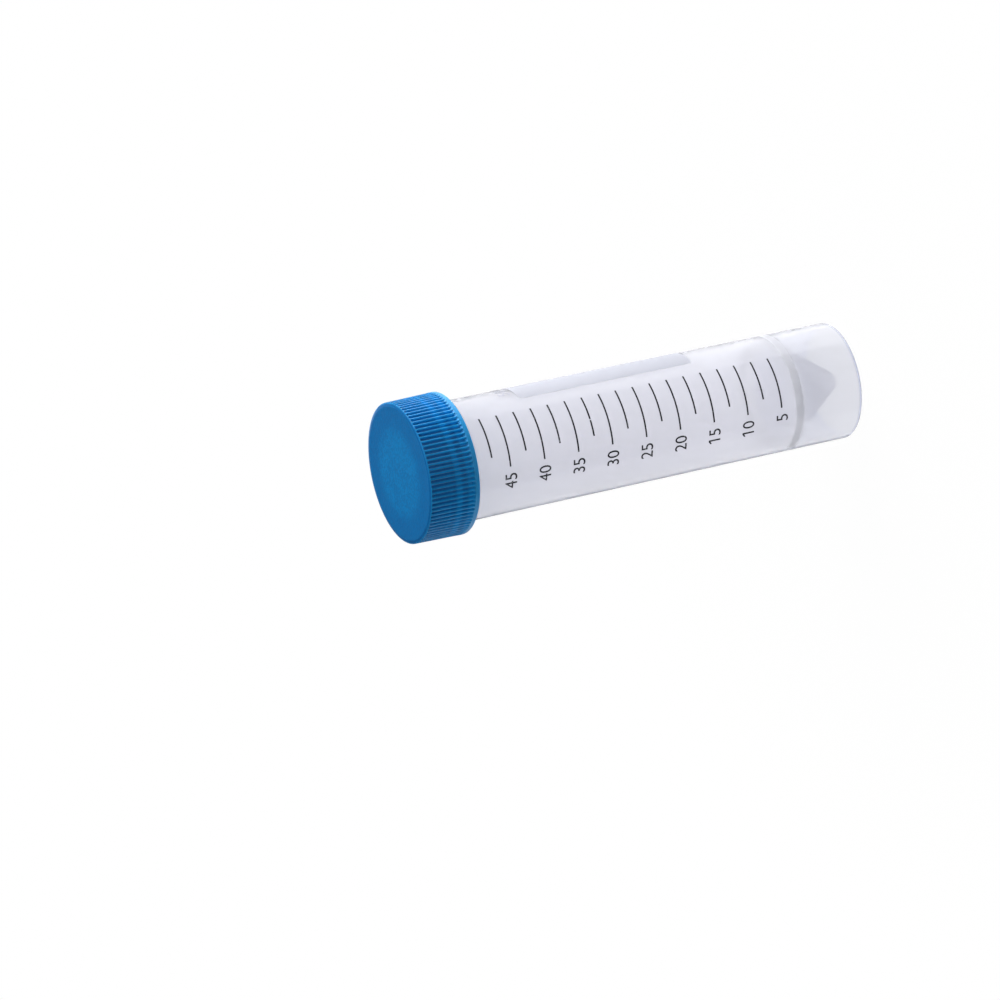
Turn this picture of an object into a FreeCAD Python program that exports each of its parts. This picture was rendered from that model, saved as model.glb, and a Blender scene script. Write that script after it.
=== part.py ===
"""Self-standing 50 ml conical tube with a ribbed screw cap.

Two mouldings. The tube is one piece: a thin tapered wall that runs down into a skirt, a cone hung
inside the skirt, a collar and a plain lip at the neck. The cap is one piece: a flat disc, a ribbed
side wall with a smooth band at its open end, and a plug ring that seals inside the mouth.

Millimetres. The origin is the centre of the ring that the skirt stands on, and +Z runs up the tube.
"""
import FreeCAD
import Part
import Sketcher
import os
import re

SIZES = {
    # tube wall
    "tube_length": 114.8,  # standing face to lip
    "foot_diameter": 28.08,  # outside, at the standing face
    "neck_diameter": 28.62,  # outside, from the collar up
    "wall": 0.9,
    "foot_bevel": 0.2,
    # cone inside the skirt
    "cone_half_angle": 34.1,  # degrees, between the cone's side and the axis
    "cone_wall": 1.4,
    "nose_diameter": 4.54,  # blunt outside end of the cone
    "nose_height": 0.6,  # standing face to nose
    "nose_rounding": 1.2,
    "bottom_flat": 1.0,  # diameter, inside, where a pellet collects
    "bottom_rounding": 2.6,  # from that flat up into the cone
    "junction_bevel": 0.6,  # under the cone, where it meets the skirt
    # neck
    "collar_stand": 0.79,  # how far the collar stands out from the neck
    "collar_height": 1.4,
    "collar_below_lip": 8.9,  # lip to the collar's upper edge
    "collar_bevel": 0.4,
    "lip_inset": 0.34,  # how far the lip's bevel leans in from the neck's outside
    "lip_bevel": 0.6,
    # cap
    "cap_height": 12.56,
    "cap_wall": 0.925,  # between the ribs
    "rim_wall": 1.55,  # at the smooth band
    "cap_disc": 1.1,
    "edge_width": 0.5,  # bevel round the disc; the ribs start at its foot
    "edge_drop": 0.2,
    "rim_bevel": 0.2,  # round the open end, inside and out
    "band_height": 1.2,
    "band_step": 0.05,  # how far the band stands proud of the ribs
    "collar_clearance": 0.3,  # collar to the cap's side wall
    "lip_clearance": 0.1,  # lip to the underside of the disc
    # grip ribs
    "rib_count": 92,
    "rib_height": 0.42,  # at the top; the rim's thicker wall makes it grow towards the band
    "rib_width": 0.6,  # at the wall
    "rib_crest": 0.22,  # flat along the top
    "rib_bevel": 0.17,  # crest down to the flank
    "rib_root": 0.3,  # how far each rib runs into the wall
    # seal
    "plug_depth": 2.4,
    "plug_wall": 1.0,
    "plug_clearance": 0.15,
    "plug_bevel": 0.4,
}

# Sizes that follow from the sheet. A formula may use the ones above it.
FORMULAS = {
    "collar_top": "tube_length - collar_below_lip",
    "collar_foot": "collar_top - collar_height",
    "wall_slope": "(neck_diameter - foot_diameter) / 2 / collar_foot",
    "bore_at_foot": "foot_diameter / 2 - wall",
    "bore_at_neck": "neck_diameter / 2 - wall",
    "cone_slope": "tan(cone_half_angle)",
    "outer_apex": "nose_height - nose_diameter / 2 / cone_slope",
    "inner_apex": "outer_apex + cone_wall / sin(cone_half_angle)",
    "bottom_radius": "bottom_rounding * tan(45 - cone_half_angle / 2) + bottom_flat / 2",
    "bottom_height": "inner_apex + bottom_radius / cone_slope",
    "outer_junction": "(bore_at_foot + cone_slope * outer_apex) / (cone_slope - wall_slope)",
    "bevel_foot": "outer_junction - junction_bevel",
    "bevel_top": "outer_junction - junction_bevel / 2",
    "inner_junction": "(bore_at_foot + cone_slope * inner_apex) / (cone_slope - wall_slope)",
    "collar_radius": "neck_diameter / 2 + collar_stand",
    "disc_underside": "tube_length + lip_clearance",
    "cap_top": "disc_underside + cap_disc",
    "cap_rim": "cap_top - cap_height",
    "cap_bore": "collar_radius + collar_clearance",
    "band_top": "cap_rim + band_height",
    "rim_radius": "cap_bore + rim_wall",
    "wall_between_ribs": "cap_bore + cap_wall",
    "crest_radius": "wall_between_ribs + rib_height",
    "rib_top": "cap_top - edge_drop",
    "rib_draft": "(rim_radius - band_step - crest_radius) / (rib_top - band_top)",
    "plug_outside": "bore_at_neck - plug_clearance",
    "plug_inside": "plug_outside - plug_wall",
    "plug_end": "disc_underside - plug_depth",
}

CLOSE = 1e-4  # how near an edge must lie to the corner that made it


def formula(text):
    """Spell a formula out in the sheet's cells, such as "wall / 2" as "Sizes.wall / 2"."""

    def spell(word):
        name = word.group()
        if name in SIZES:
            return "Sizes." + name
        if name in FORMULAS:
            return "(" + formula(FORMULAS[name]) + ")"
        return name

    return re.sub(r"[a-z_]+", spell, text)


def make_sheet(doc):
    sheet = doc.addObject("Spreadsheet::Sheet", "Sizes")
    for row, (name, value) in enumerate(SIZES.items(), 1):
        sheet.set(f"A{row}", name)
        sheet.set(f"B{row}", str(value))
        sheet.setAlias(f"B{row}", name)
    doc.recompute()
    return sheet


def make_body(doc, name):
    body = doc.addObject("PartDesign::Body", name)
    body.Label = name
    return body


def origin_feature(body, role):
    return next(part for part in body.Origin.OriginFeatures if part.Role == role)


def new_sketch(body, name, plane):
    sketch = body.newObject("Sketcher::SketchObject", name)
    sketch.AttachmentSupport = [(origin_feature(body, plane), "")]
    sketch.MapMode = "FlatFace"
    return sketch


def tie(sketch, direction, corner, text):
    """Hold one coordinate of a sketch's corner at a formula's value. A minus sign turns it round."""
    if text == "0":
        axis = -2 if direction == "DistanceX" else -1
        sketch.addConstraint(Sketcher.Constraint("PointOnObject", corner, 1, axis))
        return
    ends = (corner, 1, -1, 1) if text.startswith("-") else (-1, 1, corner, 1)
    number = sketch.addConstraint(Sketcher.Constraint(direction, *ends, 1.0))
    sketch.setExpression(f"Constraints[{number}]", formula(text.lstrip("-")))


def closed_outline(body, name, plane, corners):
    """Sketch with straight sides between corners, each given as two formulas."""
    sketch = new_sketch(body, name, plane)
    count = len(corners)
    start = [FreeCAD.Vector(10 + i % 2, 1 + i, 0) for i in range(count)]
    for i in range(count):
        sketch.addGeometry(Part.LineSegment(start[i], start[(i + 1) % count]), False)
    for i in range(count):
        sketch.addConstraint(Sketcher.Constraint("Coincident", i, 2, (i + 1) % count, 1))
    for i, (across, along) in enumerate(corners):
        tie(sketch, "DistanceX", i, across)
        tie(sketch, "DistanceY", i, along)
    return sketch


def turned(body, kind, name, corners):
    """A Revolution or a Groove of a half section, as (radius, height), round the Z axis."""
    sketch = closed_outline(body, name + "Section", "XZ_Plane", corners)
    feature = body.newObject("PartDesign::" + kind, name)
    feature.Profile = sketch
    feature.ReferenceAxis = (origin_feature(body, "Z_Axis"), [""])
    feature.Angle = 360
    body.Document.recompute()
    return sketch


def ring_name(shape, corner):
    """Name of the round edge that a corner of a half section left on the shape."""
    for number, edge in enumerate(shape.Edges, 1):
        curve = edge.Curve
        if not isinstance(curve, Part.Circle) or abs(curve.Radius - corner.x) > CLOSE:
            continue
        if abs(curve.Center.z - corner.y) < CLOSE:
            return f"Edge{number}"
    raise ValueError(f"no round edge at {corner}")


def rounded(body, name, sketch, corner, radius):
    """Round the edge that one corner of a half section left on the body."""
    base = body.Tip
    fillet = body.newObject("PartDesign::Fillet", name)
    fillet.Base = (base, [ring_name(base.Shape, sketch.getPoint(corner, 1))])
    fillet.setExpression("Radius", formula(radius))
    body.Document.recompute()
    return fillet


def make_tube(doc):
    body = make_body(doc, "tube")
    turned(body, "Revolution", "Outside", [
        ("0", "0"),
        ("foot_diameter / 2 - foot_bevel", "0"),
        ("foot_diameter / 2 + wall_slope * foot_bevel", "foot_bevel"),
        ("neck_diameter / 2", "collar_foot"),
        ("collar_radius", "collar_foot + collar_bevel"),
        ("collar_radius", "collar_top - collar_bevel"),
        ("neck_diameter / 2", "collar_top"),
        ("neck_diameter / 2", "tube_length - lip_bevel"),
        ("neck_diameter / 2 - lip_inset", "tube_length"),
        ("0", "tube_length"),
    ])
    bore = turned(body, "Groove", "Bore", [
        ("0", "bottom_height"),
        ("bottom_radius", "bottom_height"),
        ("bore_at_foot + wall_slope * inner_junction", "inner_junction"),
        ("bore_at_neck", "collar_foot"),
        ("bore_at_neck", "tube_length"),
        ("0", "tube_length"),
    ])
    hollow = turned(body, "Groove", "SkirtHollow", [
        ("0", "0"),
        ("bore_at_foot + foot_bevel", "0"),
        ("bore_at_foot + wall_slope * foot_bevel", "foot_bevel"),
        ("bore_at_foot + wall_slope * bevel_foot", "bevel_foot"),
        ("cone_slope * (bevel_top - outer_apex)", "bevel_top"),
        ("nose_diameter / 2", "nose_height"),
        ("0", "nose_height"),
    ])
    rounded(body, "BottomRounding", bore, 1, "bottom_rounding")
    rounded(body, "NoseRounding", hollow, 5, "nose_rounding")
    return body


def rib_section(body):
    """One rib's section at its top: a bevelled crest on two flanks whose root is in the wall."""
    root = "wall_between_ribs - rib_root"
    shoulder = "crest_radius - rib_bevel"
    crest = "crest_radius"
    sketch = closed_outline(body, "RibSection", "XY_Plane", [
        (root, "-rib_width / 2"),
        (shoulder, "-rib_width / 2"),
        (crest, "-rib_crest / 2"),
        (crest, "rib_crest / 2"),
        (shoulder, "rib_width / 2"),
        (root, "rib_width / 2"),
    ])
    sketch.setExpression(".AttachmentOffset.Base.z", formula("rib_top"))
    return sketch


def make_ribs(body):
    """Ribs from the disc's bevel down to the smooth band, leaning out as the rim's wall thickens."""
    rib = body.newObject("PartDesign::Pad", "Rib")
    rib.Profile = rib_section(body)
    rib.UseCustomVector = True
    rib.AlongSketchNormal = True
    rib.Direction = FreeCAD.Vector(0, 0, -1)
    rib.setExpression("Direction.x", formula("rib_draft"))
    rib.setExpression("Length", formula("rib_top - band_top + band_height / 2"))
    body.Document.recompute()
    ribs = body.newObject("PartDesign::PolarPattern", "Ribs")
    ribs.Originals = [rib]
    ribs.Axis = (origin_feature(body, "Z_Axis"), [""])
    ribs.Angle = 360
    ribs.setExpression("Occurrences", formula("rib_count"))
    body.Tip = ribs
    body.Document.recompute()
    return ribs


def make_cap(doc):
    body = make_body(doc, "cap")
    turned(body, "Revolution", "Shell", [
        ("0", "disc_underside"),
        ("plug_inside", "disc_underside"),
        ("plug_inside", "plug_end"),
        ("plug_outside - plug_bevel", "plug_end"),
        ("plug_outside", "plug_end + plug_bevel"),
        ("plug_outside", "disc_underside"),
        ("cap_bore", "disc_underside"),
        ("cap_bore", "cap_rim + rim_bevel"),
        ("cap_bore + rim_bevel", "cap_rim"),
        ("rim_radius - rim_bevel", "cap_rim"),
        ("rim_radius", "cap_rim + rim_bevel"),
        ("rim_radius", "band_top"),
        ("wall_between_ribs", "band_top"),
        ("wall_between_ribs", "rib_top"),
        ("wall_between_ribs - edge_width", "cap_top"),
        ("0", "cap_top"),
    ])
    make_ribs(body)
    return body


def check(doc, bodies):
    """Stop on any object that failed, and on any shape that isn't one valid closed solid."""
    for thing in doc.Objects:
        if "Invalid" in thing.State or "Error" in thing.State:
            raise ValueError(f"{thing.Name} failed: {thing.State}")
    for body in bodies:
        shape = body.Shape
        if shape.isNull() or not shape.isValid() or len(shape.Solids) != 1:
            raise ValueError(f"{body.Label} isn't one valid solid")


def main():
    doc = FreeCAD.newDocument("ConicalTube")
    make_sheet(doc)
    bodies = [make_tube(doc), make_cap(doc)]
    doc.recompute()
    check(doc, bodies)
    os.makedirs("parts", exist_ok=True)
    for body in bodies:
        body.Shape.exportStep(f"parts/{body.Label}.step")
        box = body.Shape.BoundBox
        print(f"{body.Label}: {body.Shape.Volume:.1f} mm3, {box.XLength:.2f} x {box.YLength:.2f}"
              f" x {box.ZLength:.2f} mm, {len(body.Shape.Faces)} faces")


main()
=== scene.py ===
import math

import bmesh
import bpy
from mathutils import Matrix, Vector


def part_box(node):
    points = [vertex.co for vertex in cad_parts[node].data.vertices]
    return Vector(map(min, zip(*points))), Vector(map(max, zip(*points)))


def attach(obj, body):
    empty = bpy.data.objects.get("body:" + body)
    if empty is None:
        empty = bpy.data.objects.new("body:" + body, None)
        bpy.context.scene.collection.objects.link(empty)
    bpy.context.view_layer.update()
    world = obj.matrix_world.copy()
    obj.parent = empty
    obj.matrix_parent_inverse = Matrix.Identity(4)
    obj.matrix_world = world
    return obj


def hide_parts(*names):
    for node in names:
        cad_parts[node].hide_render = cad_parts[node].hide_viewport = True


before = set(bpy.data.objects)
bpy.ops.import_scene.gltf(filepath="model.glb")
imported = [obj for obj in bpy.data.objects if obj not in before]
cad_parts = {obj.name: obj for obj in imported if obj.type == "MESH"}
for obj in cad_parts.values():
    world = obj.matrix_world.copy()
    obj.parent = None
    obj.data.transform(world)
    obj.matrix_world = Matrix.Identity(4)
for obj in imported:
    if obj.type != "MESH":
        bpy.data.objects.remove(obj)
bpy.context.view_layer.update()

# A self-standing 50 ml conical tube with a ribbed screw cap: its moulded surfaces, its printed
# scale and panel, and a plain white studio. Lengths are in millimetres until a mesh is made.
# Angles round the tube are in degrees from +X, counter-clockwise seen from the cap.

MM = 0.001

# ---------------------------------------------------------------------------------------------
# Sizes

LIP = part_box("tube")[1].z / MM
COLLAR_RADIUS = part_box("tube")[1].x / MM
CAP_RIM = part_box("cap")[0].z / MM
CAP_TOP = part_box("cap")[1].z / MM
RIM_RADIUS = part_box("cap")[1].x / MM

# tube
FOOT_RADIUS = 14.04
NECK_RADIUS = 14.31
WALL = 0.9
COLLAR_TOP = LIP - 8.9
COLLAR_FOOT = COLLAR_TOP - 1.4
COLLAR_BEVEL = 0.4
LIP_RADIUS = 13.97
LIP_BEVEL = 0.6
CONE_SLOPE = math.tan(math.radians(34.1))
CONE_WALL = 1.4
NOSE_RADIUS = 2.27
NOSE_HEIGHT = 0.6
NOSE_ROUNDING = 1.2
JUNCTION_ROUNDING = 0.6
INNER_JUNCTION_ROUNDING = 0.8
BOTTOM_ROUNDING = 2.6
BOTTOM_FLAT = 0.5
ROUNDING_MARGIN = 0.98  # keeps the bottom's rounding a hair inside the run it has
WALL_SLOPE = (NECK_RADIUS - FOOT_RADIUS) / COLLAR_FOOT

# cap
DISC = 1.1
DISC_SHOULDER = 0.92  # from the disc's flat to the crests of the ribs
CREST_RADIUS = 16.745
CREST_DRAFT = 0.16  # how much further out the crests are at their foot
CREST_FOOT = 0.6  # above the band
CAP_BORE = 15.4
BAND_TOP = CAP_RIM + 1.2
EDGE_DROP = 0.2
PLUG_RADIUS = 13.26
PLUG_WALL = 1.0
PLUG_DEPTH = 2.4
PLUG_LEAD = 0.4
RIBS = 92
GROOVE_RINGS = (0.13, 0.25)  # below the edge, to carry the grooves' upper ends
GROOVE_FOOT = BAND_TOP + 0.05

# thread, shared by neck and cap
PITCH = 2.97
THREAD_START = -9.0
NECK_THREAD_FOOT = LIP - 8.4
CAP_THREAD_START = THREAD_START - 122
CAP_THREAD_FOOT = LIP - 7.9
CAP_THREAD_RUN_IN = 2  # from the rim to the fine rings that carry the thread

# print
SCALE_FOOT = 22.0  # height of the first line
SCALE_STEP = 5  # millilitres from one number to the next
STEP_VOLUME = 2500.0  # cubic millimetres from one line to the next
SCALE_LINES = 18
SCALE_LEFT = -105.0  # where the long lines start
SCALE_SHORT_LEFT = -93.3
SCALE_RIGHT = -53.4
LINE_WIDTH = 0.39
NICKED_LINE = 11  # the 32.5 ml line
NICK_ANGLE = -77.4
NICK_EDGE = (0.14, 0.24)
FILM = 0.03  # thickness of the print
NUMBER_RIGHT = -110.6
NUMBER_HEIGHT = 3.1
NUMBER_WIDTH = 1.85
PANEL_CENTRE = -8.9
PANEL_WIDTH = 14.5
PANEL_LOW = 40.2
PANEL_HIGH = 86.0
PANEL_CORNER = 1.1
LABEL_BASE = 87.2
LABEL_RIGHT = PANEL_CENTRE + 16
LABEL_HEIGHT = 2.9
LABEL_WIDTH = 1.75
STRIP = 0.35  # the print is cut into strips this wide, so that it follows the wall

# The stroke added to a 1, from the left of its stem, as shares of its height.
FLAG = ((0.1, 0.9), (0.1, 1.0), (0.0, 1.0), (-0.22, 0.84), (-0.22, 0.71))

# smoothness of the forms
TUBE_SEGMENTS = 256
CAP_SEGMENTS = RIBS * 10
SHARP_EDGE = math.radians(40)
EDGE_STEPS = 4  # in each rounding
END_RING = 0.3  # from a long run's end to its nearest ring
WALL_STEP = 4  # between rings, as are the next three
NECK_STEP = 0.12
BAND_STEP = 0.1
BORE_STEP = 0.25
ARC_STEPS = 48  # along a line of the scale
LETTER_STEPS = 4  # along each curve of a letter
PANEL_CORNER_STEPS = 8
MERGE = 1e-3  # points of a letter closer than this are one

# usual roundings
FINE = 0.12
ROOT = 0.15
SMALL = 0.2
SOFT = 0.3

# Where a finish, a painted shade or a painted light changes: each pair is the start and the end of
# a soft change.
WALL_OUTSIDE = (13.3, 13.6)  # radius
CONE_EDGE = (12.4, 12.9)  # radius
FOOT_EDGE = (0.3, 1.0)  # height, as are the next five
SKIRT_TO_WALL = (12, 20)
CLEAR_TO_HAZY = (18, 30)
CONE_TOP = (17, 18)
RING = ((16.0, 16.1), (18.0, 18.1))  # rise and fall, as the next
INNER_CORNER = ((15.6, 15.9), (19.3, 19.8))  # where the cone meets the bore
CAP_SIDE = (16.0, 16.1)  # radius
CREST = (16.2, 16.7)  # radius
OFF_THREAD = (0.12, 0.38)  # in pitches, from the middle of a turn
# where painted light, as if shown through the cap's thin wall, fades out towards the disc
LIGHT_THROUGH_TOP = (CAP_TOP - 6.5, CAP_TOP - 4.5)  # height, as is the next
# the next two place painted shade on the disc's outer border
DISC_FACE = (CAP_TOP - 0.4, CAP_TOP - 0.3)
DISC_BORDER = (8.5, 12.5)  # radius

# How strong a finish, a painted shade or a painted light is: shares from 0 to 1, and roughness
# where the name says so.
CONE_CLARITY = 0.45
CORNER_CLARITY = 0.8
RING_CLARITY = 0.25
RING_MILKINESS = 0.42
WALL_HAZINESS = 0.27
FOOT_HAZE_LOSS = 0.12
CONE_HAZE_LOSS = 0.08
CLEAR_ROUGHNESS = 0.015
HAZY_ROUGHNESS = 0.13
WALL_GRAIN_ROUGHNESS = 0.03
SATIN_ROUGHNESS = 0.37
CAP_GRAIN_ROUGHNESS = 0.2
GRAIN_CONTRAST = (0.36, 0.64)
GRAIN_SHARE = 0.8  # of the blue's speckle. The rest is slow cloud.
# painted shade on the disc's border
BORDER_SHADE_SHARE = 0.55
# painted shade in the cap's grooves
GROOVE_SHADE_SHARE = 0.7
# painted highlight on the cap's crests
CREST_HIGHLIGHT_SHARE = 0.55
# painted light, as if shown through the thin wall between the thread's turns
LIGHT_THROUGH_SHARE = 0.45
WORN_PATCHES = (0.56, 0.68)
WORN_SHARE = 0.55
PANEL_COVER = 0.9
LABEL_COVER = 0.5

# colours
WHITE = (1, 1, 1)
SKIRT_TINT = (0.92, 0.93, 0.985)
WALL_TINT = (0.952, 0.957, 1.0)
FOOT_TINT = (0.66, 0.70, 0.85)
RING_MILK = (0.69, 0.70, 0.75)
WALL_HAZE = (0.965, 0.965, 1.0)
BLUE_DARK = (0.001, 0.17, 0.47)
BLUE_LIGHT = (0.003, 0.262, 0.63)
# painted shade for the disc's border
BLUE_BORDER_SHADE = (0.001, 0.13, 0.40)
# painted shade for the cap's grooves
BLUE_GROOVE_SHADE = (0.001, 0.12, 0.40)
# painted light: a highlight on the crests, and light shown through the thin wall
BLUE_PAINTED_LIGHT = (0.004, 0.365, 0.81)
INK_DARK = (0.006, 0.006, 0.007)
INK_WORN = (0.025, 0.025, 0.028)
PALE_INK_DARK = (0.51, 0.52, 0.59)
PALE_INK_LIGHT = (0.56, 0.57, 0.64)
FLOOR_GREY = (0.9, 0.9, 0.9)
SKY_TINT = (0.72, 0.85, 1.0)

# studio, in metres
FLOOR_SIZE = 6
FLOOR_HEIGHT = -0.00005  # a hair below the foot
FLOOR_SHADE = 0.015  # share of the lit floor, with its shadow, close to the foot
SHADE_FADES = (30, 160)  # millimetres from the axis
FILL = 0.07  # the sky's light on the object
BACK_SHEEN = 0.2  # more of it where a surface mirrors the backdrop low behind the tube
BACK_DIRECTION = (-0.25, 0.90, -0.36)
BACK_SPREAD = (0.80, 0.98)
LAMPS = {  # place, size and radiance
    "key_lamp": ((0.6396, 0.1162, 0.35), (0.634, 0.7), 5.8),
    "sheen_lamp": ((0.6253, 0.1831, -0.25), (0.812, 0.5), 2.0),
    "back_lamp": ((0.2413, 0.6032, -0.1), (0.5, 0.8), 0.8),
    "low_lamp": ((-0.6192, 0.1976, 0.0), (1.0, 1.0), 0.9),
    "top_lamp": ((0.35, 0.0, 0.8), (0.6, 0.6), 1.1),
    "front_lamp": ((0.0, -0.5, 0.5), (0.5, 0.5), 0.7),
}
CAMERA_TARGET = (-10.98, -0.20, 92.36)  # millimetres
CAMERA_DISTANCE = 1.3336
CAMERA_TURNS = (1.068, 24.425, 102.326)  # azimuth, elevation and roll, in degrees
CAMERA_LENS = 205.8  # millimetres, as is the sensor
CAMERA_SENSOR = 36


def wall_radius(height):
    """Outside radius of the tapered wall."""
    return FOOT_RADIUS + WALL_SLOPE * min(height, COLLAR_FOOT)


def bore_radius(height):
    return wall_radius(height) - WALL


# ---------------------------------------------------------------------------------------------
# Node trees written as expressions


class Flow:
    """A node's output. Arithmetic on it adds Math nodes to its tree."""

    def __init__(self, graph, socket):
        self.graph = graph
        self.socket = socket

    def other(self, name):
        """Another output of the same node."""
        return Flow(self.graph, self.socket.node.outputs[name])

    def math(self, operation, *values):
        sockets = dict(enumerate((self, *values)))
        return self.graph.add("ShaderNodeMath", {"operation": operation}, sockets)

    def __add__(self, value):
        return self.math("ADD", value)

    def __radd__(self, value):
        return self.math("ADD", value)

    def __sub__(self, value):
        return self.math("SUBTRACT", value)

    def __rsub__(self, value):
        return self.math("MULTIPLY_ADD", -1.0, value)

    def __mul__(self, value):
        return self.math("MULTIPLY", value)

    def __rmul__(self, value):
        return self.math("MULTIPLY", value)

    def __truediv__(self, value):
        return self.math("DIVIDE", value)

    def __abs__(self):
        return self.math("ABSOLUTE")

    def ramp(self, low, high):
        """0 up to low, 1 from high on, and a smooth rise between."""
        sockets = {"Value": self, "From Min": low, "From Max": high}
        return self.graph.add("ShaderNodeMapRange", {"interpolation_type": "SMOOTHSTEP"}, sockets)


class Graph:
    """A node tree with one way to add a node."""

    def __init__(self, tree):
        self.tree = tree

    def add(self, kind, settings=None, sockets=None, output=0):
        node = self.tree.nodes.new(kind)
        for name, value in (settings or {}).items():
            setattr(node, name, value)
        for name, value in (sockets or {}).items():
            if isinstance(value, Flow):
                self.tree.links.new(value.socket, node.inputs[name])
            else:
                node.inputs[name].default_value = value
        return Flow(self, node.outputs[output])


# ---------------------------------------------------------------------------------------------
# Meshes


def new_piece(name, mesh):
    piece = bpy.data.objects.new(name, mesh)
    bpy.context.scene.collection.objects.link(piece)
    return piece


def finish_piece(piece, body, material=None):
    """Smooth the faces up to a sharp edge, give the finish, and let the piece ride on its body."""
    mesh = piece.data
    mesh.shade_smooth()
    mesh.set_sharp_from_angle(angle=SHARP_EDGE)
    if material:
        mesh.materials.clear()
        mesh.materials.append(material)
    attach(piece, body)


def arc_points(before, corner, after, radius):
    """The round that replaces a corner between two straight runs."""
    back = (before - corner).normalized()
    ahead = (after - corner).normalized()
    half = back.angle(ahead) / 2
    reach = radius / math.tan(half)
    middle = corner + (back + ahead).normalized() * (radius / math.sin(half))
    start = corner + back * reach - middle
    sweep = start.angle_signed(corner + ahead * reach - middle)
    turns = [-sweep * i / EDGE_STEPS for i in range(EDGE_STEPS + 1)]
    return [middle + Matrix.Rotation(turn, 2) @ start for turn in turns]


def half_section(corners):
    """Points of a half section from corners (radius, height, rounding, step).

    The run that starts at a corner is divided at that corner's step. Long runs also get a point
    close to each end, which keeps their shading straight.
    """
    places = [Vector(corner[:2]) for corner in corners]
    roundings = [corner[2] if len(corner) > 2 else 0 for corner in corners]
    steps = [corner[3] if len(corner) > 3 else math.inf for corner in corners]
    rounds = [[places[0]]]
    for i in range(1, len(corners) - 1):
        if roundings[i]:
            rounds.append(arc_points(places[i - 1], places[i], places[i + 1], roundings[i]))
        else:
            rounds.append([places[i]])
    rounds.append([places[-1]])
    points = []
    for this, following, step in zip(rounds, rounds[1:], steps):
        points += this
        start, end = this[-1], following[0]
        run = end - start
        if run.length > 4 * END_RING:
            count = max(1, math.ceil((run.length - 2 * END_RING) / step))
            inner = run.normalized() * END_RING
            first, last = start + inner, end - inner
            points += [first.lerp(last, j / count) for j in range(count + 1)]
    return points + rounds[-1]


def turned(name, corners, segments):
    """Closed skin of a half section turned about Z. The section starts and ends on the axis, and
    the solid lies to its right."""
    outline = half_section(corners)
    turns = [2 * math.pi * i / segments for i in range(segments)]
    points = [Vector((0, 0, outline[0].y))]
    for place in outline[1:-1]:
        points += [Vector((place.x * math.cos(t), place.x * math.sin(t), place.y)) for t in turns]
    points.append(Vector((0, 0, outline[-1].y)))
    last = len(points) - 1
    rings = len(outline) - 2
    faces = []
    for i in range(segments):
        j = (i + 1) % segments
        faces.append((0, 1 + i, 1 + j))
        for ring in range(rings - 1):
            near, far = 1 + ring * segments, 1 + (ring + 1) * segments
            faces.append((near + i, far + i, far + j, near + j))
        end = 1 + (rings - 1) * segments
        faces.append((end + i, last, end + j))
    mesh = bpy.data.meshes.new(name)
    mesh.from_pydata([point * MM for point in points], [], faces)
    mesh.validate()
    return new_piece(name, mesh)


# ---------------------------------------------------------------------------------------------
# Geometry Nodes


def new_tree(name, sizes, build):
    """A Geometry Nodes tree with one named input for each size. build(graph, inputs) gives the
    shape, which is realized and gets its material at the end."""
    tree = bpy.data.node_groups.new(name, "GeometryNodeTree")
    kinds = {int: "NodeSocketInt", float: "NodeSocketFloat"}
    tree.interface.new_socket("Geometry", in_out="INPUT", socket_type="NodeSocketGeometry")
    for label, kind in sizes.items():
        tree.interface.new_socket(label, in_out="INPUT", socket_type=kinds[kind])
    tree.interface.new_socket("Material", in_out="INPUT", socket_type="NodeSocketMaterial")
    tree.interface.new_socket("Geometry", in_out="OUTPUT", socket_type="NodeSocketGeometry")
    graph = Graph(tree)
    entry = graph.add("NodeGroupInput")
    inputs = {label: entry.other(label) for label in ["Geometry", *sizes, "Material"]}
    shape = graph.add("GeometryNodeRealizeInstances", {}, {"Geometry": build(graph, inputs)})
    finish = {"Geometry": shape, "Material": inputs["Material"]}
    shape = graph.add("GeometryNodeSetMaterial", {}, finish)
    exit_node = tree.nodes.new("NodeGroupOutput")
    tree.links.new(shape.socket, exit_node.inputs["Geometry"])
    return tree


def grow(piece, tree, values):
    """Run a tree over a piece with these input values and keep the result as a plain mesh."""
    modifier = piece.modifiers.new(tree.name, "NODES")
    modifier.node_group = tree
    for item in tree.interface.items_tree:
        if item.in_out == "INPUT" and item.name in values:
            modifier[item.identifier] = values[item.name]
    view = bpy.context.evaluated_depsgraph_get()
    mesh = bpy.data.meshes.new_from_object(piece.evaluated_get(view))
    piece.modifiers.clear()
    piece.data = mesh


def polar(graph):
    """Radius, angle in radians and height of the point that a tree is working on."""
    place = graph.add("GeometryNodeInputPosition")
    x = graph.add("ShaderNodeSeparateXYZ", {}, {"Vector": place})
    y, z = x.other("Y"), x.other("Z")
    radius = (x * x + y * y).math("SQRT")
    return radius, y.math("ARCTAN2", x), z


def pushed(graph, shape, radius, angle, distance):
    """Move every point outwards by a distance."""
    along = {"X": angle.math("COSINE") * distance, "Y": angle.math("SINE") * distance}
    offset = graph.add("ShaderNodeCombineXYZ", {}, along)
    return graph.add("GeometryNodeSetPosition", {}, {"Geometry": shape, "Offset": offset})


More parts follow.
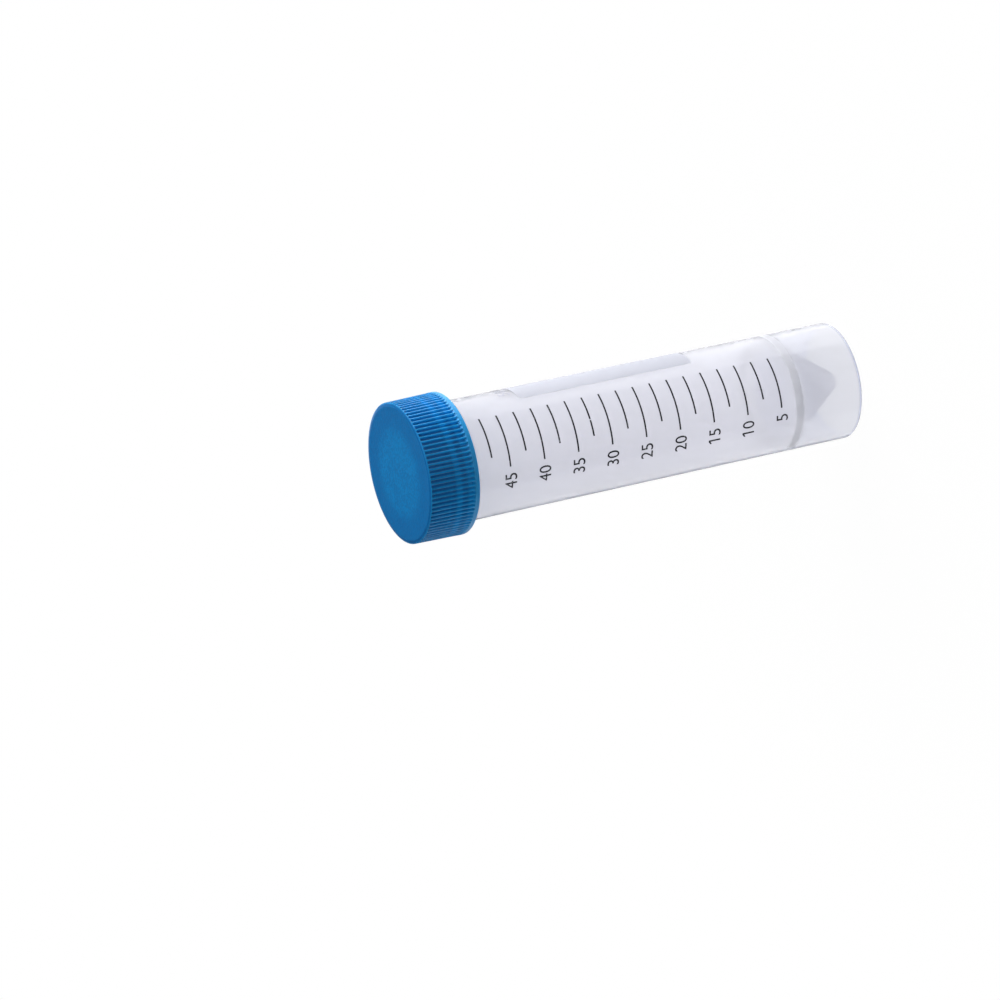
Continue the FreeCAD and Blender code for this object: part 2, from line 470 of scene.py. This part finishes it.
def thread_tree():
    """Raises a helical ridge on the points between two radii. A negative height cuts inwards."""

    def build(graph, size):
        radius, angle, height = polar(graph)
        turn = (angle - size["Start Angle"]) / (2 * math.pi)
        climb = (height - size["Start Height"]) / size["Pitch"]
        ridge = (climb - turn).math("ROUND")
        along = turn + ridge
        away = abs(climb - turn - ridge) * size["Pitch"]
        form = 1 - away.ramp(size["Crest Width"] / 2, size["Root Width"] / 2)
        taper = size["Taper"]
        ends = along.ramp(0.0, taper) * (1 - along.ramp(size["Turns"] - taper, size["Turns"]))
        inside = radius.math("GREATER_THAN", size["Inner Radius"])
        inside = inside * radius.math("LESS_THAN", size["Outer Radius"])
        lift = form * ends * inside * size["Ridge Height"]
        return pushed(graph, size["Geometry"], radius, angle, lift)

    sizes = ("Pitch", "Turns", "Taper", "Start Angle", "Start Height", "Ridge Height",
             "Crest Width", "Root Width", "Inner Radius", "Outer Radius")
    return new_tree("helical_thread", dict.fromkeys(sizes, float), build)


def groove_tree():
    """Cuts the grooves that leave the grip ribs between them. Each ends in a scoop."""

    def build(graph, size):
        radius, angle, height = polar(graph)
        phase = angle * (size["Count"] / (2 * math.pi))
        away = abs(phase - phase.math("ROUND"))
        form = 1 - away.ramp(size["Floor Share"] / 2, 0.5 - size["Crest Share"] / 2)
        end = height.ramp(size["Foot"], size["Foot"] + size["Scoop"])
        end = end * (1 - height.ramp(size["Top"] - size["Scoop"] / 2, size["Top"]))
        outside = radius.math("GREATER_THAN", size["Inner Radius"])
        share = (size["Top"] - height) / (size["Top"] - size["Foot"])
        depth = size["Depth"] + (size["Foot Depth"] - size["Depth"]) * share
        return pushed(graph, size["Geometry"], radius, angle, form * end * outside * depth * -1)

    sizes = dict.fromkeys(("Depth", "Foot Depth", "Floor Share", "Crest Share", "Top", "Foot",
                           "Scoop", "Inner Radius"), float)
    return new_tree("grip_grooves", {"Count": int, **sizes}, build)


def scale_tree():
    """Lays an arc of ink on the tapered wall at the height of each of the mesh's points."""

    def build(graph, size):
        sweep = {"Radius": size["Radius"], "Start Angle": size["Left"],
                 "Sweep Angle": size["Right"] - size["Left"], "Resolution": ARC_STEPS}
        line = graph.add("GeometryNodeCurveArc", {"mode": "RADIUS"}, sweep)
        film = {"Width": size["Film"], "Height": size["Line Width"]}
        section = graph.add("GeometryNodeCurvePrimitiveQuadrilateral", {}, film)
        swept = {"Curve": line, "Profile Curve": section, "Fill Caps": True}
        arc = graph.add("GeometryNodeCurveToMesh", {}, swept)
        height = polar(graph)[2]
        spread = (size["Foot Radius"] + height * size["Slope"]) / size["Radius"]
        scale = graph.add("ShaderNodeCombineXYZ", {}, {"X": spread, "Y": spread, "Z": 1.0})
        dots = graph.add("GeometryNodeMeshToPoints", {}, {"Mesh": size["Geometry"]})
        copies = {"Points": dots, "Instance": arc, "Scale": scale}
        return graph.add("GeometryNodeInstanceOnPoints", {}, copies)

    sizes = ("Radius", "Left", "Right", "Film", "Line Width", "Foot Radius", "Slope")
    return new_tree("scale_lines", dict.fromkeys(sizes, float), build)


# ---------------------------------------------------------------------------------------------
# Finishes


def new_finish(name):
    """A material's graph, its Principled shader and the point on the object in millimetres."""
    material = bpy.data.materials.new(name)
    material.use_nodes = True
    graph = Graph(material.node_tree)
    shader = material.node_tree.nodes["Principled BSDF"]
    place = graph.add("ShaderNodeTexCoord").other("Object")
    millimetres = graph.add("ShaderNodeVectorMath", {"operation": "SCALE"},
                            {0: place, "Scale": 1 / MM})
    return material, graph, shader, millimetres


def feed(graph, shader, **values):
    """Set or link the shader's sockets. Underscores in a name stand for spaces."""
    for name, value in values.items():
        socket = shader.inputs[name.replace("_", " ")]
        if isinstance(value, Flow):
            graph.tree.links.new(value.socket, socket)
        else:
            socket.default_value = value


def noise(graph, place, scale, detail=3.0, stretch=(1, 1, 1)):
    """Noise about 0.5, with this many waves to the millimetre."""
    spot = graph.add("ShaderNodeMapping", {}, {"Vector": place, "Scale": stretch})
    sockets = {"Vector": spot, "Scale": scale, "Detail": detail}
    return graph.add("ShaderNodeTexNoise", {}, sockets)


def blend(graph, share, low, high):
    """A colour between two, by share. Either may be a fixed colour or a node's."""
    low, high = (end if isinstance(end, Flow) else (*end, 1) for end in (low, high))
    return graph.add("ShaderNodeMix", {"data_type": "RGBA"}, {0: share, 6: low, 7: high}, 2)


def between(value, rise, fall):
    """1 from the end of the rise to the start of the fall, and 0 outside them."""
    return value.ramp(*rise) * (1 - value.ramp(*fall))


def layered(graph, share, under, over):
    """One shader over another, by share."""
    return graph.add("ShaderNodeMixShader", {}, {0: share, 1: under, 2: over})


def show(graph, shader):
    """Make this shader the material's surface."""
    exit_node = graph.tree.nodes["Material Output"]
    graph.tree.links.new(shader.socket, exit_node.inputs["Surface"])


def bumped(graph, height, strength, distance):
    sockets = {"Height": height, "Strength": strength, "Distance": distance}
    return graph.add("ShaderNodeBump", {}, sockets)


def natural_plastic():
    """Hazy natural polypropylene. It is clearest on the cone and milky at the thick ring round
    the top of the cone."""
    material, graph, shader, place = new_finish("natural_polypropylene")
    x = graph.add("ShaderNodeSeparateXYZ", {}, {"Vector": place})
    y, z = x.other("Y"), x.other("Z")
    radius = (x * x + y * y).math("SQRT")
    cloud = noise(graph, place, 0.12, detail=2.0, stretch=(1, 1, 0.3))
    grain = noise(graph, place, 2.5)
    outside = radius.ramp(*WALL_OUTSIDE)
    corner = between(z, *INNER_CORNER) * (1 - outside)
    cone = 1 - radius.ramp(*CONE_EDGE)
    ring = between(z, *RING) * outside
    foot = 1 - z.ramp(*FOOT_EDGE)
    clear = (cone * CONE_CLARITY).math("MAXIMUM", corner * CORNER_CLARITY)
    wall = blend(graph, z.ramp(*SKIRT_TO_WALL), SKIRT_TINT, WALL_TINT)
    tinted = blend(graph, foot, wall, FOOT_TINT)
    smooth = CLEAR_ROUGHNESS + z.ramp(*CLEAR_TO_HAZY) * (HAZY_ROUGHNESS - CLEAR_ROUGHNESS)
    feed(graph, shader,
         Base_Color=blend(graph, clear, tinted, WHITE),
         Roughness=smooth + (grain - 0.5) * WALL_GRAIN_ROUGHNESS,
         Alpha=1 - clear.math("MAXIMUM", ring * RING_CLARITY),
         Transmission_Weight=0.93,
         IOR=1.49,
         Normal=bumped(graph, cloud, strength=0.008, distance=0.0004))
    haze = graph.add("ShaderNodeBsdfTranslucent", {}, {"Color": (*WALL_HAZE, 1)})
    milk = graph.add("ShaderNodeBsdfDiffuse", {}, {"Color": (*RING_MILK, 1)})
    low_cone = cone * (1 - z.ramp(*CONE_TOP))
    haziness = WALL_HAZINESS - foot * FOOT_HAZE_LOSS - low_cone * CONE_HAZE_LOSS
    hazy = layered(graph, haziness, Flow(graph, shader.outputs[0]), haze)
    show(graph, layered(graph, ring * RING_MILKINESS, hazy, milk))
    return material


def blue_plastic():
    """Satin moulded polyethylene. Painted shade darkens the grooves and the disc's border, a
    painted highlight lightens the crests, and painted light, as if shown through the wall,
    lightens it where it is thin between the turns of the thread, towards the rim."""
    material, graph, shader, place = new_finish("blue_polyethylene")
    x = graph.add("ShaderNodeSeparateXYZ", {}, {"Vector": place})
    y, z = x.other("Y"), x.other("Z")
    radius = (x * x + y * y).math("SQRT")
    grain = noise(graph, place, 1.9)
    cloud = noise(graph, place, 0.15)
    turn = (y.math("ARCTAN2", x) - math.radians(CAP_THREAD_START)) / (2 * math.pi)
    climb = (z - CAP_THREAD_FOOT) / PITCH
    away = abs(climb - turn - (climb - turn).math("ROUND"))
    side = radius.ramp(*CAP_SIDE)
    crest = radius.ramp(*CREST)
    # painted light, as if shown through the thin wall between the thread's turns, fading out
    # towards the disc
    light_through = away.ramp(*OFF_THREAD) * (1 - z.ramp(*LIGHT_THROUGH_TOP)) * side
    # painted shade on the disc's outer border
    border_shade = z.ramp(*DISC_FACE) * radius.ramp(*DISC_BORDER)
    speckle = cloud * (1 - GRAIN_SHARE) + grain.ramp(*GRAIN_CONTRAST) * GRAIN_SHARE
    colour = blend(graph, speckle, BLUE_DARK, BLUE_LIGHT)
    # painted shade on the disc's border
    colour = blend(graph, border_shade * BORDER_SHADE_SHARE, colour, BLUE_BORDER_SHADE)
    # painted shade in the grooves
    colour = blend(graph, side * (1 - crest) * GROOVE_SHADE_SHARE, colour, BLUE_GROOVE_SHADE)
    # painted highlight on the crests, and painted light shown through the thin wall
    colour = blend(graph, side * crest * CREST_HIGHLIGHT_SHARE + light_through * LIGHT_THROUGH_SHARE, colour, BLUE_PAINTED_LIGHT)
    feed(graph, shader,
         Base_Color=colour,
         Roughness=SATIN_ROUGHNESS + (grain - 0.5) * CAP_GRAIN_ROUGHNESS,
         IOR=1.5,
         Normal=bumped(graph, grain, strength=0.4, distance=0.0001))
    return material


def scale_ink():
    """Black ink, a little worn, with a nick in one line."""
    material, graph, shader, place = new_finish("scale_ink")
    speckle = noise(graph, place, 4.0)
    worn = noise(graph, place, 2.2).ramp(*WORN_PATCHES) * WORN_SHARE
    height = line_heights()[NICKED_LINE]
    reach = wall_radius(height)
    turn = math.radians(NICK_ANGLE)
    nick = (reach * math.cos(turn), reach * math.sin(turn), height)
    away = graph.add("ShaderNodeVectorMath", {"operation": "DISTANCE"},
                     {0: place, 1: nick}, "Value")
    bare = (1 - away.ramp(*NICK_EDGE)).math("MAXIMUM", worn)
    feed(graph, shader,
         Base_Color=blend(graph, speckle.ramp(0.3, 0.8), INK_DARK, INK_WORN),
         Roughness=0.5 + speckle * 0.1,
         Alpha=1 - bare,
         Specular_IOR_Level=0.2)
    return material


def pale_ink(name, cover):
    """Pale matt ink that hides this share of the wall under it."""
    material, graph, shader, place = new_finish(name)
    speckle = noise(graph, place, 3.0)
    cloud = noise(graph, place, 0.08)
    feed(graph, shader,
         Base_Color=blend(graph, cloud, PALE_INK_DARK, PALE_INK_LIGHT),
         Roughness=0.55 + speckle * 0.1,
         Alpha=cover)
    return material


# ---------------------------------------------------------------------------------------------
# Mouldings


def wall_meeting(apex):
    """Height at which a cone with its apex at this height meets the inside of the wall."""
    return (bore_radius(0) + CONE_SLOPE * apex) / (CONE_SLOPE - WALL_SLOPE)


def make_tube(material, thread):
    apex = NOSE_HEIGHT - NOSE_RADIUS / CONE_SLOPE
    inner_apex = apex + CONE_WALL / math.sin(math.atan(CONE_SLOPE))
    junction = wall_meeting(apex)
    inner_junction = wall_meeting(inner_apex)
    opening = math.radians(45) - math.atan(CONE_SLOPE) / 2
    bottom_radius = BOTTOM_ROUNDING * math.tan(opening) + BOTTOM_FLAT
    bottom = inner_apex + bottom_radius / CONE_SLOPE
    piece = turned("tube_body", [
        (0, bottom),
        (bottom_radius, bottom, BOTTOM_ROUNDING * ROUNDING_MARGIN),
        (bore_radius(inner_junction), inner_junction, INNER_JUNCTION_ROUNDING, WALL_STEP),
        (bore_radius(COLLAR_FOOT), COLLAR_FOOT),
        (bore_radius(COLLAR_FOOT), LIP, SMALL),
        (LIP_RADIUS, LIP, SMALL),
        (NECK_RADIUS, LIP - LIP_BEVEL, SMALL, NECK_STEP),
        (NECK_RADIUS, COLLAR_TOP, ROOT),
        (COLLAR_RADIUS, COLLAR_TOP - COLLAR_BEVEL, SOFT),
        (COLLAR_RADIUS, COLLAR_FOOT + COLLAR_BEVEL, SOFT),
        (NECK_RADIUS, COLLAR_FOOT, SOFT, WALL_STEP),
        (FOOT_RADIUS, 0, SOFT),
        (FOOT_RADIUS - WALL, 0, SOFT),
        (bore_radius(junction), junction, JUNCTION_ROUNDING),
        (NOSE_RADIUS, NOSE_HEIGHT, NOSE_ROUNDING),
        (0, NOSE_HEIGHT),
    ], TUBE_SEGMENTS)
    grow(piece, thread, {
        "Pitch": PITCH * MM,
        "Turns": 2.15,
        "Taper": 0.09,
        "Start Angle": math.radians(THREAD_START),
        "Start Height": NECK_THREAD_FOOT * MM,
        "Ridge Height": 0.64 * MM,
        "Crest Width": 0.6 * MM,
        "Root Width": 1.75 * MM,
        "Inner Radius": 13.9 * MM,
        "Outer Radius": 14.4 * MM,
        "Material": material,
    })
    finish_piece(piece, "tube")
    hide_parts("tube")


def make_cap(material, thread, grooves):
    edge = CAP_TOP - EDGE_DROP
    underside = CAP_TOP - DISC
    plug_foot = underside - PLUG_DEPTH
    piece = turned("ribbed_cap", [
        (0, CAP_TOP),
        (CREST_RADIUS - DISC_SHOULDER, CAP_TOP, SOFT),
        (CREST_RADIUS, edge, FINE),
        *[(CREST_RADIUS, edge - drop) for drop in GROOVE_RINGS],
        (CREST_RADIUS + CREST_DRAFT, BAND_TOP + CREST_FOOT, 0, BAND_STEP),
        (RIM_RADIUS, BAND_TOP),
        (RIM_RADIUS, CAP_RIM, SOFT),
        (CAP_BORE, CAP_RIM, SOFT),
        (CAP_BORE, CAP_RIM + CAP_THREAD_RUN_IN, 0, BORE_STEP),
        (CAP_BORE, underside, SMALL),
        (PLUG_RADIUS, underside, SMALL),
        (PLUG_RADIUS, plug_foot + PLUG_LEAD, SMALL),
        (PLUG_RADIUS - PLUG_LEAD, plug_foot, SMALL),
        (PLUG_RADIUS - PLUG_WALL, plug_foot, SMALL),
        (PLUG_RADIUS - PLUG_WALL, underside, SOFT),
        (0, underside),
    ], CAP_SEGMENTS)
    grow(piece, thread, {
        "Pitch": PITCH * MM,
        "Turns": 2.3,
        "Taper": 0.06,
        "Start Angle": math.radians(CAP_THREAD_START),
        "Start Height": CAP_THREAD_FOOT * MM,
        "Ridge Height": -0.66 * MM,
        "Crest Width": 0.35 * MM,
        "Root Width": 1.15 * MM,
        "Inner Radius": 15.3 * MM,
        "Outer Radius": 15.5 * MM,
        "Material": material,
    })
    grow(piece, grooves, {
        "Count": RIBS,
        "Depth": 0.55 * MM,
        "Foot Depth": 0.62 * MM,
        "Floor Share": 0.42,
        "Crest Share": 0.28,
        "Top": edge * MM,
        "Foot": GROOVE_FOOT * MM,
        "Scoop": 0.5 * MM,
        "Inner Radius": 16.5 * MM,
        "Material": material,
    })
    finish_piece(piece, "cap")
    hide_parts("cap")


# ---------------------------------------------------------------------------------------------
# Print


def line_heights():
    """Height of each line, from the bore's volume between it and the one below."""
    heights = [SCALE_FOOT]
    while len(heights) < SCALE_LINES:
        radius = bore_radius(heights[-1])
        heights.append(heights[-1] + STEP_VOLUME / (math.pi * radius * radius))
    return heights


def make_lines(name, heights, left, material, tree):
    mesh = bpy.data.meshes.new(name)
    mesh.from_pydata([(0, 0, height * MM) for height in heights], [], [])
    piece = new_piece(name, mesh)
    grow(piece, tree, {
        "Radius": NECK_RADIUS * MM,
        "Left": math.radians(left),
        "Right": math.radians(SCALE_RIGHT),
        "Film": FILM * MM,
        "Line Width": LINE_WIDTH * MM,
        "Foot Radius": (FOOT_RADIUS + FILM / 2) * MM,
        "Slope": WALL_SLOPE,
        "Material": material,
    })
    finish_piece(piece, "tube")


def add_plate(shape, outline):
    """Add a flat closed plate, as thick as the print, with this outline. Which way its faces point
    is put right when it is wrapped."""
    over = [shape.verts.new((x, y, FILM / 2)) for x, y in outline]
    under = [shape.verts.new((x, y, -FILM / 2)) for x, y in outline]
    shape.faces.new([over[0], *over[:0:-1]])
    shape.faces.new(under)
    for i in range(len(outline)):
        shape.faces.new((over[i - 1], over[i], under[i], under[i - 1]))


def add_flag(mesh, height):
    """Give the 1 at the start of a number its short slanted stroke."""
    shape = bmesh.new()
    shape.from_mesh(mesh)
    left = min(vert.co.x for vert in shape.verts)
    add_plate(shape, [(left + across * height, up * height) for across, up in FLAG])
    shape.to_mesh(mesh)
    shape.free()


def flat_words(words, width, height):
    """Flat closed letters, with their right-hand edge at 0 and their foot at 0. width and height
    are those of a 0."""
    curve = bpy.data.curves.new("letters", "FONT")
    probe = bpy.data.objects.new("letters", curve)
    bpy.context.scene.collection.objects.link(probe)
    curve.body = "0"
    bpy.context.view_layer.update()
    size = probe.dimensions.copy()
    curve.body = words
    curve.align_x = "RIGHT"
    curve.extrude = 0.5  # each way, so the letters are 1 thick until they are scaled
    curve.resolution_u = LETTER_STEPS
    view = bpy.context.evaluated_depsgraph_get()
    mesh = bpy.data.meshes.new_from_object(probe.evaluated_get(view))
    bpy.data.objects.remove(probe)
    mesh.transform(Matrix.Diagonal((width / size.x, height / size.y, FILM, 1)))
    if words.startswith("1"):
        add_flag(mesh, height)
    return mesh


def flat_panel(width, height, corner):
    """Flat closed rectangle with rounded corners, centred on 0."""
    rim = []
    for quarter in range(4):
        turn = math.pi / 2 * quarter
        side_x = (width / 2 - corner) * (1 if quarter in (0, 3) else -1)
        side_y = (height / 2 - corner) * (1 if quarter in (0, 1) else -1)
        for i in range(PANEL_CORNER_STEPS + 1):
            t = turn + math.pi / 2 * i / PANEL_CORNER_STEPS
            rim.append((side_x + corner * math.cos(t), side_y + corner * math.sin(t)))
    shape = bmesh.new()
    add_plate(shape, rim)
    mesh = bpy.data.meshes.new("panel")
    shape.to_mesh(mesh)
    shape.free()
    return mesh


def wrapped(name, flat_meshes, material):
    """One printed piece from flat meshes, each (mesh, angle of its x = 0, height of its y = 0).

    Their faces are turned outwards while they are flat, where inside and outside are plain.
    """
    shape = bmesh.new()
    for mesh, angle, height in flat_meshes:
        part = bmesh.new()
        part.from_mesh(mesh)
        xs = [vert.co.x for vert in part.verts]
        cut = min(xs) + STRIP
        while cut < max(xs):
            everything = [*part.verts, *part.edges, *part.faces]
            bmesh.ops.bisect_plane(part, geom=everything, plane_co=(cut, 0, 0), plane_no=(1, 0, 0))
            cut += STRIP
        bmesh.ops.remove_doubles(part, verts=part.verts, dist=MERGE)
        bmesh.ops.recalc_face_normals(part, faces=part.faces)
        for vert in part.verts:
            across, up, out = vert.co
            z = height + up
            radius = wall_radius(z) + FILM / 2 + out
            turn = math.radians(angle) + across / wall_radius(z)
            vert.co = Vector((radius * math.cos(turn), radius * math.sin(turn), z)) * MM
        wrapped_mesh = bpy.data.meshes.new(name)
        part.to_mesh(wrapped_mesh)
        part.free()
        shape.from_mesh(wrapped_mesh)
    mesh = bpy.data.meshes.new(name)
    shape.to_mesh(mesh)
    shape.free()
    finish_piece(new_piece(name, mesh), "tube", material)


def make_print(ink, panel, faint):
    heights = line_heights()
    lines = scale_tree()
    make_lines("scale_lines_long", heights[0::2], SCALE_LEFT, ink, lines)
    make_lines("scale_lines_short", heights[1::2], SCALE_SHORT_LEFT, ink, lines)
    numbers = [(flat_words(str(SCALE_STEP * i), NUMBER_WIDTH, NUMBER_HEIGHT),
                NUMBER_RIGHT, height - NUMBER_HEIGHT / 2)
               for i, height in enumerate(heights[0::2], 1)]
    wrapped("scale_numbers", numbers, ink)
    field = flat_panel(PANEL_WIDTH, PANEL_HIGH - PANEL_LOW, PANEL_CORNER)
    wrapped("writing_panel", [(field, PANEL_CENTRE, (PANEL_HIGH + PANEL_LOW) / 2)], panel)
    label = flat_words("50 ml", LABEL_WIDTH, LABEL_HEIGHT)
    wrapped("volume_label", [(label, LABEL_RIGHT, LABEL_BASE)], faint)


# ---------------------------------------------------------------------------------------------
# Studio


def only_for(graph, *rays):
    """1 for these kinds of ray, 0 for the rest."""
    path = graph.add("ShaderNodeLightPath")
    share = path.other(rays[0])
    for ray in rays[1:]:
        share = share.math("MAXIMUM", path.other(ray))
    return share


def make_floor():
    bpy.ops.mesh.primitive_plane_add(size=FLOOR_SIZE, location=(0, 0, FLOOR_HEIGHT))
    floor = bpy.context.object
    floor.name = "studio_floor"
    material, graph, shader, place = new_finish("white_floor")
    feed(graph, shader, Base_Color=(*FLOOR_GREY, 1), Roughness=0.8)
    white = graph.add("ShaderNodeEmission", {}, {"Color": (*WHITE, 1), "Strength": 1.0})
    seen = only_for(graph, "Is Camera Ray", "Is Glossy Ray", "Is Transmission Ray")
    distance = graph.add("ShaderNodeVectorMath", {"operation": "LENGTH"}, {0: place}, "Value")
    share = seen * (1 - FLOOR_SHADE + FLOOR_SHADE * distance.ramp(*SHADE_FADES))
    show(graph, layered(graph, share, Flow(graph, shader.outputs[0]), white))
    floor.data.materials.append(material)
    floor.visible_glossy = False


def make_world():
    """White where it is looked at, also through the plastic, and a faint blue light elsewhere."""
    world = bpy.data.worlds.new("white_studio")
    bpy.context.scene.world = world
    world.use_nodes = True
    graph = Graph(world.node_tree)
    seen = only_for(graph, "Is Camera Ray", "Is Transmission Ray")
    direction = graph.add("ShaderNodeTexCoord").other("Generated")
    facing = graph.add("ShaderNodeVectorMath", {"operation": "DOT_PRODUCT"},
                       {0: direction, 1: BACK_DIRECTION}, "Value")
    mirrored = only_for(graph, "Is Glossy Ray")
    fill = FILL + mirrored * facing.ramp(*BACK_SPREAD) * BACK_SHEEN
    background = world.node_tree.nodes["Background"]
    feed(graph, background,
         Color=blend(graph, seen, SKY_TINT, WHITE),
         Strength=fill + seen * (1 - fill))


def make_lamp(name, place, size, strength):
    """A soft rectangular lamp that looks at the middle of the tube. strength is its radiance."""
    lamp = bpy.data.lights.new(name, "AREA")
    lamp.shape = "RECTANGLE"
    lamp.size, lamp.size_y = size
    lamp.energy = strength * math.pi * size[0] * size[1]
    holder = bpy.data.objects.new(name, lamp)
    bpy.context.scene.collection.objects.link(holder)
    holder.location = place
    target = Vector((0, 0, LIP / 2 * MM))
    holder.rotation_euler = (target - Vector(place)).to_track_quat("-Z", "Y").to_euler()
    holder.visible_camera = False
    holder.visible_transmission = False


def make_camera():
    """The camera sits above the cap's side and is rolled, so that the tube lies in the frame."""
    azimuth, elevation, roll = (math.radians(turn) for turn in CAMERA_TURNS)
    back = Vector((math.sin(azimuth) * math.cos(elevation),
                   -math.cos(azimuth) * math.cos(elevation),
                   math.sin(elevation)))
    data = bpy.data.cameras.new("camera")
    data.lens = CAMERA_LENS
    data.sensor_width = CAMERA_SENSOR
    camera = bpy.data.objects.new("camera", data)
    bpy.context.scene.collection.objects.link(camera)
    level = back.to_track_quat("Z", "Y").to_matrix()
    camera.rotation_euler = (level @ Matrix.Rotation(-roll, 3, "Z")).to_euler()
    camera.location = Vector(CAMERA_TARGET) * MM + back * CAMERA_DISTANCE
    bpy.context.scene.camera = camera


def make_studio():
    make_floor()
    make_world()
    for name, (place, size, strength) in LAMPS.items():
        make_lamp(name, place, size, strength)
    make_camera()
    bpy.context.scene.view_settings.view_transform = "Standard"


thread = thread_tree()
make_tube(natural_plastic(), thread)
make_cap(blue_plastic(), thread, groove_tree())
make_print(scale_ink(), pale_ink("panel_ink", PANEL_COVER), pale_ink("label_ink", LABEL_COVER))
make_studio()
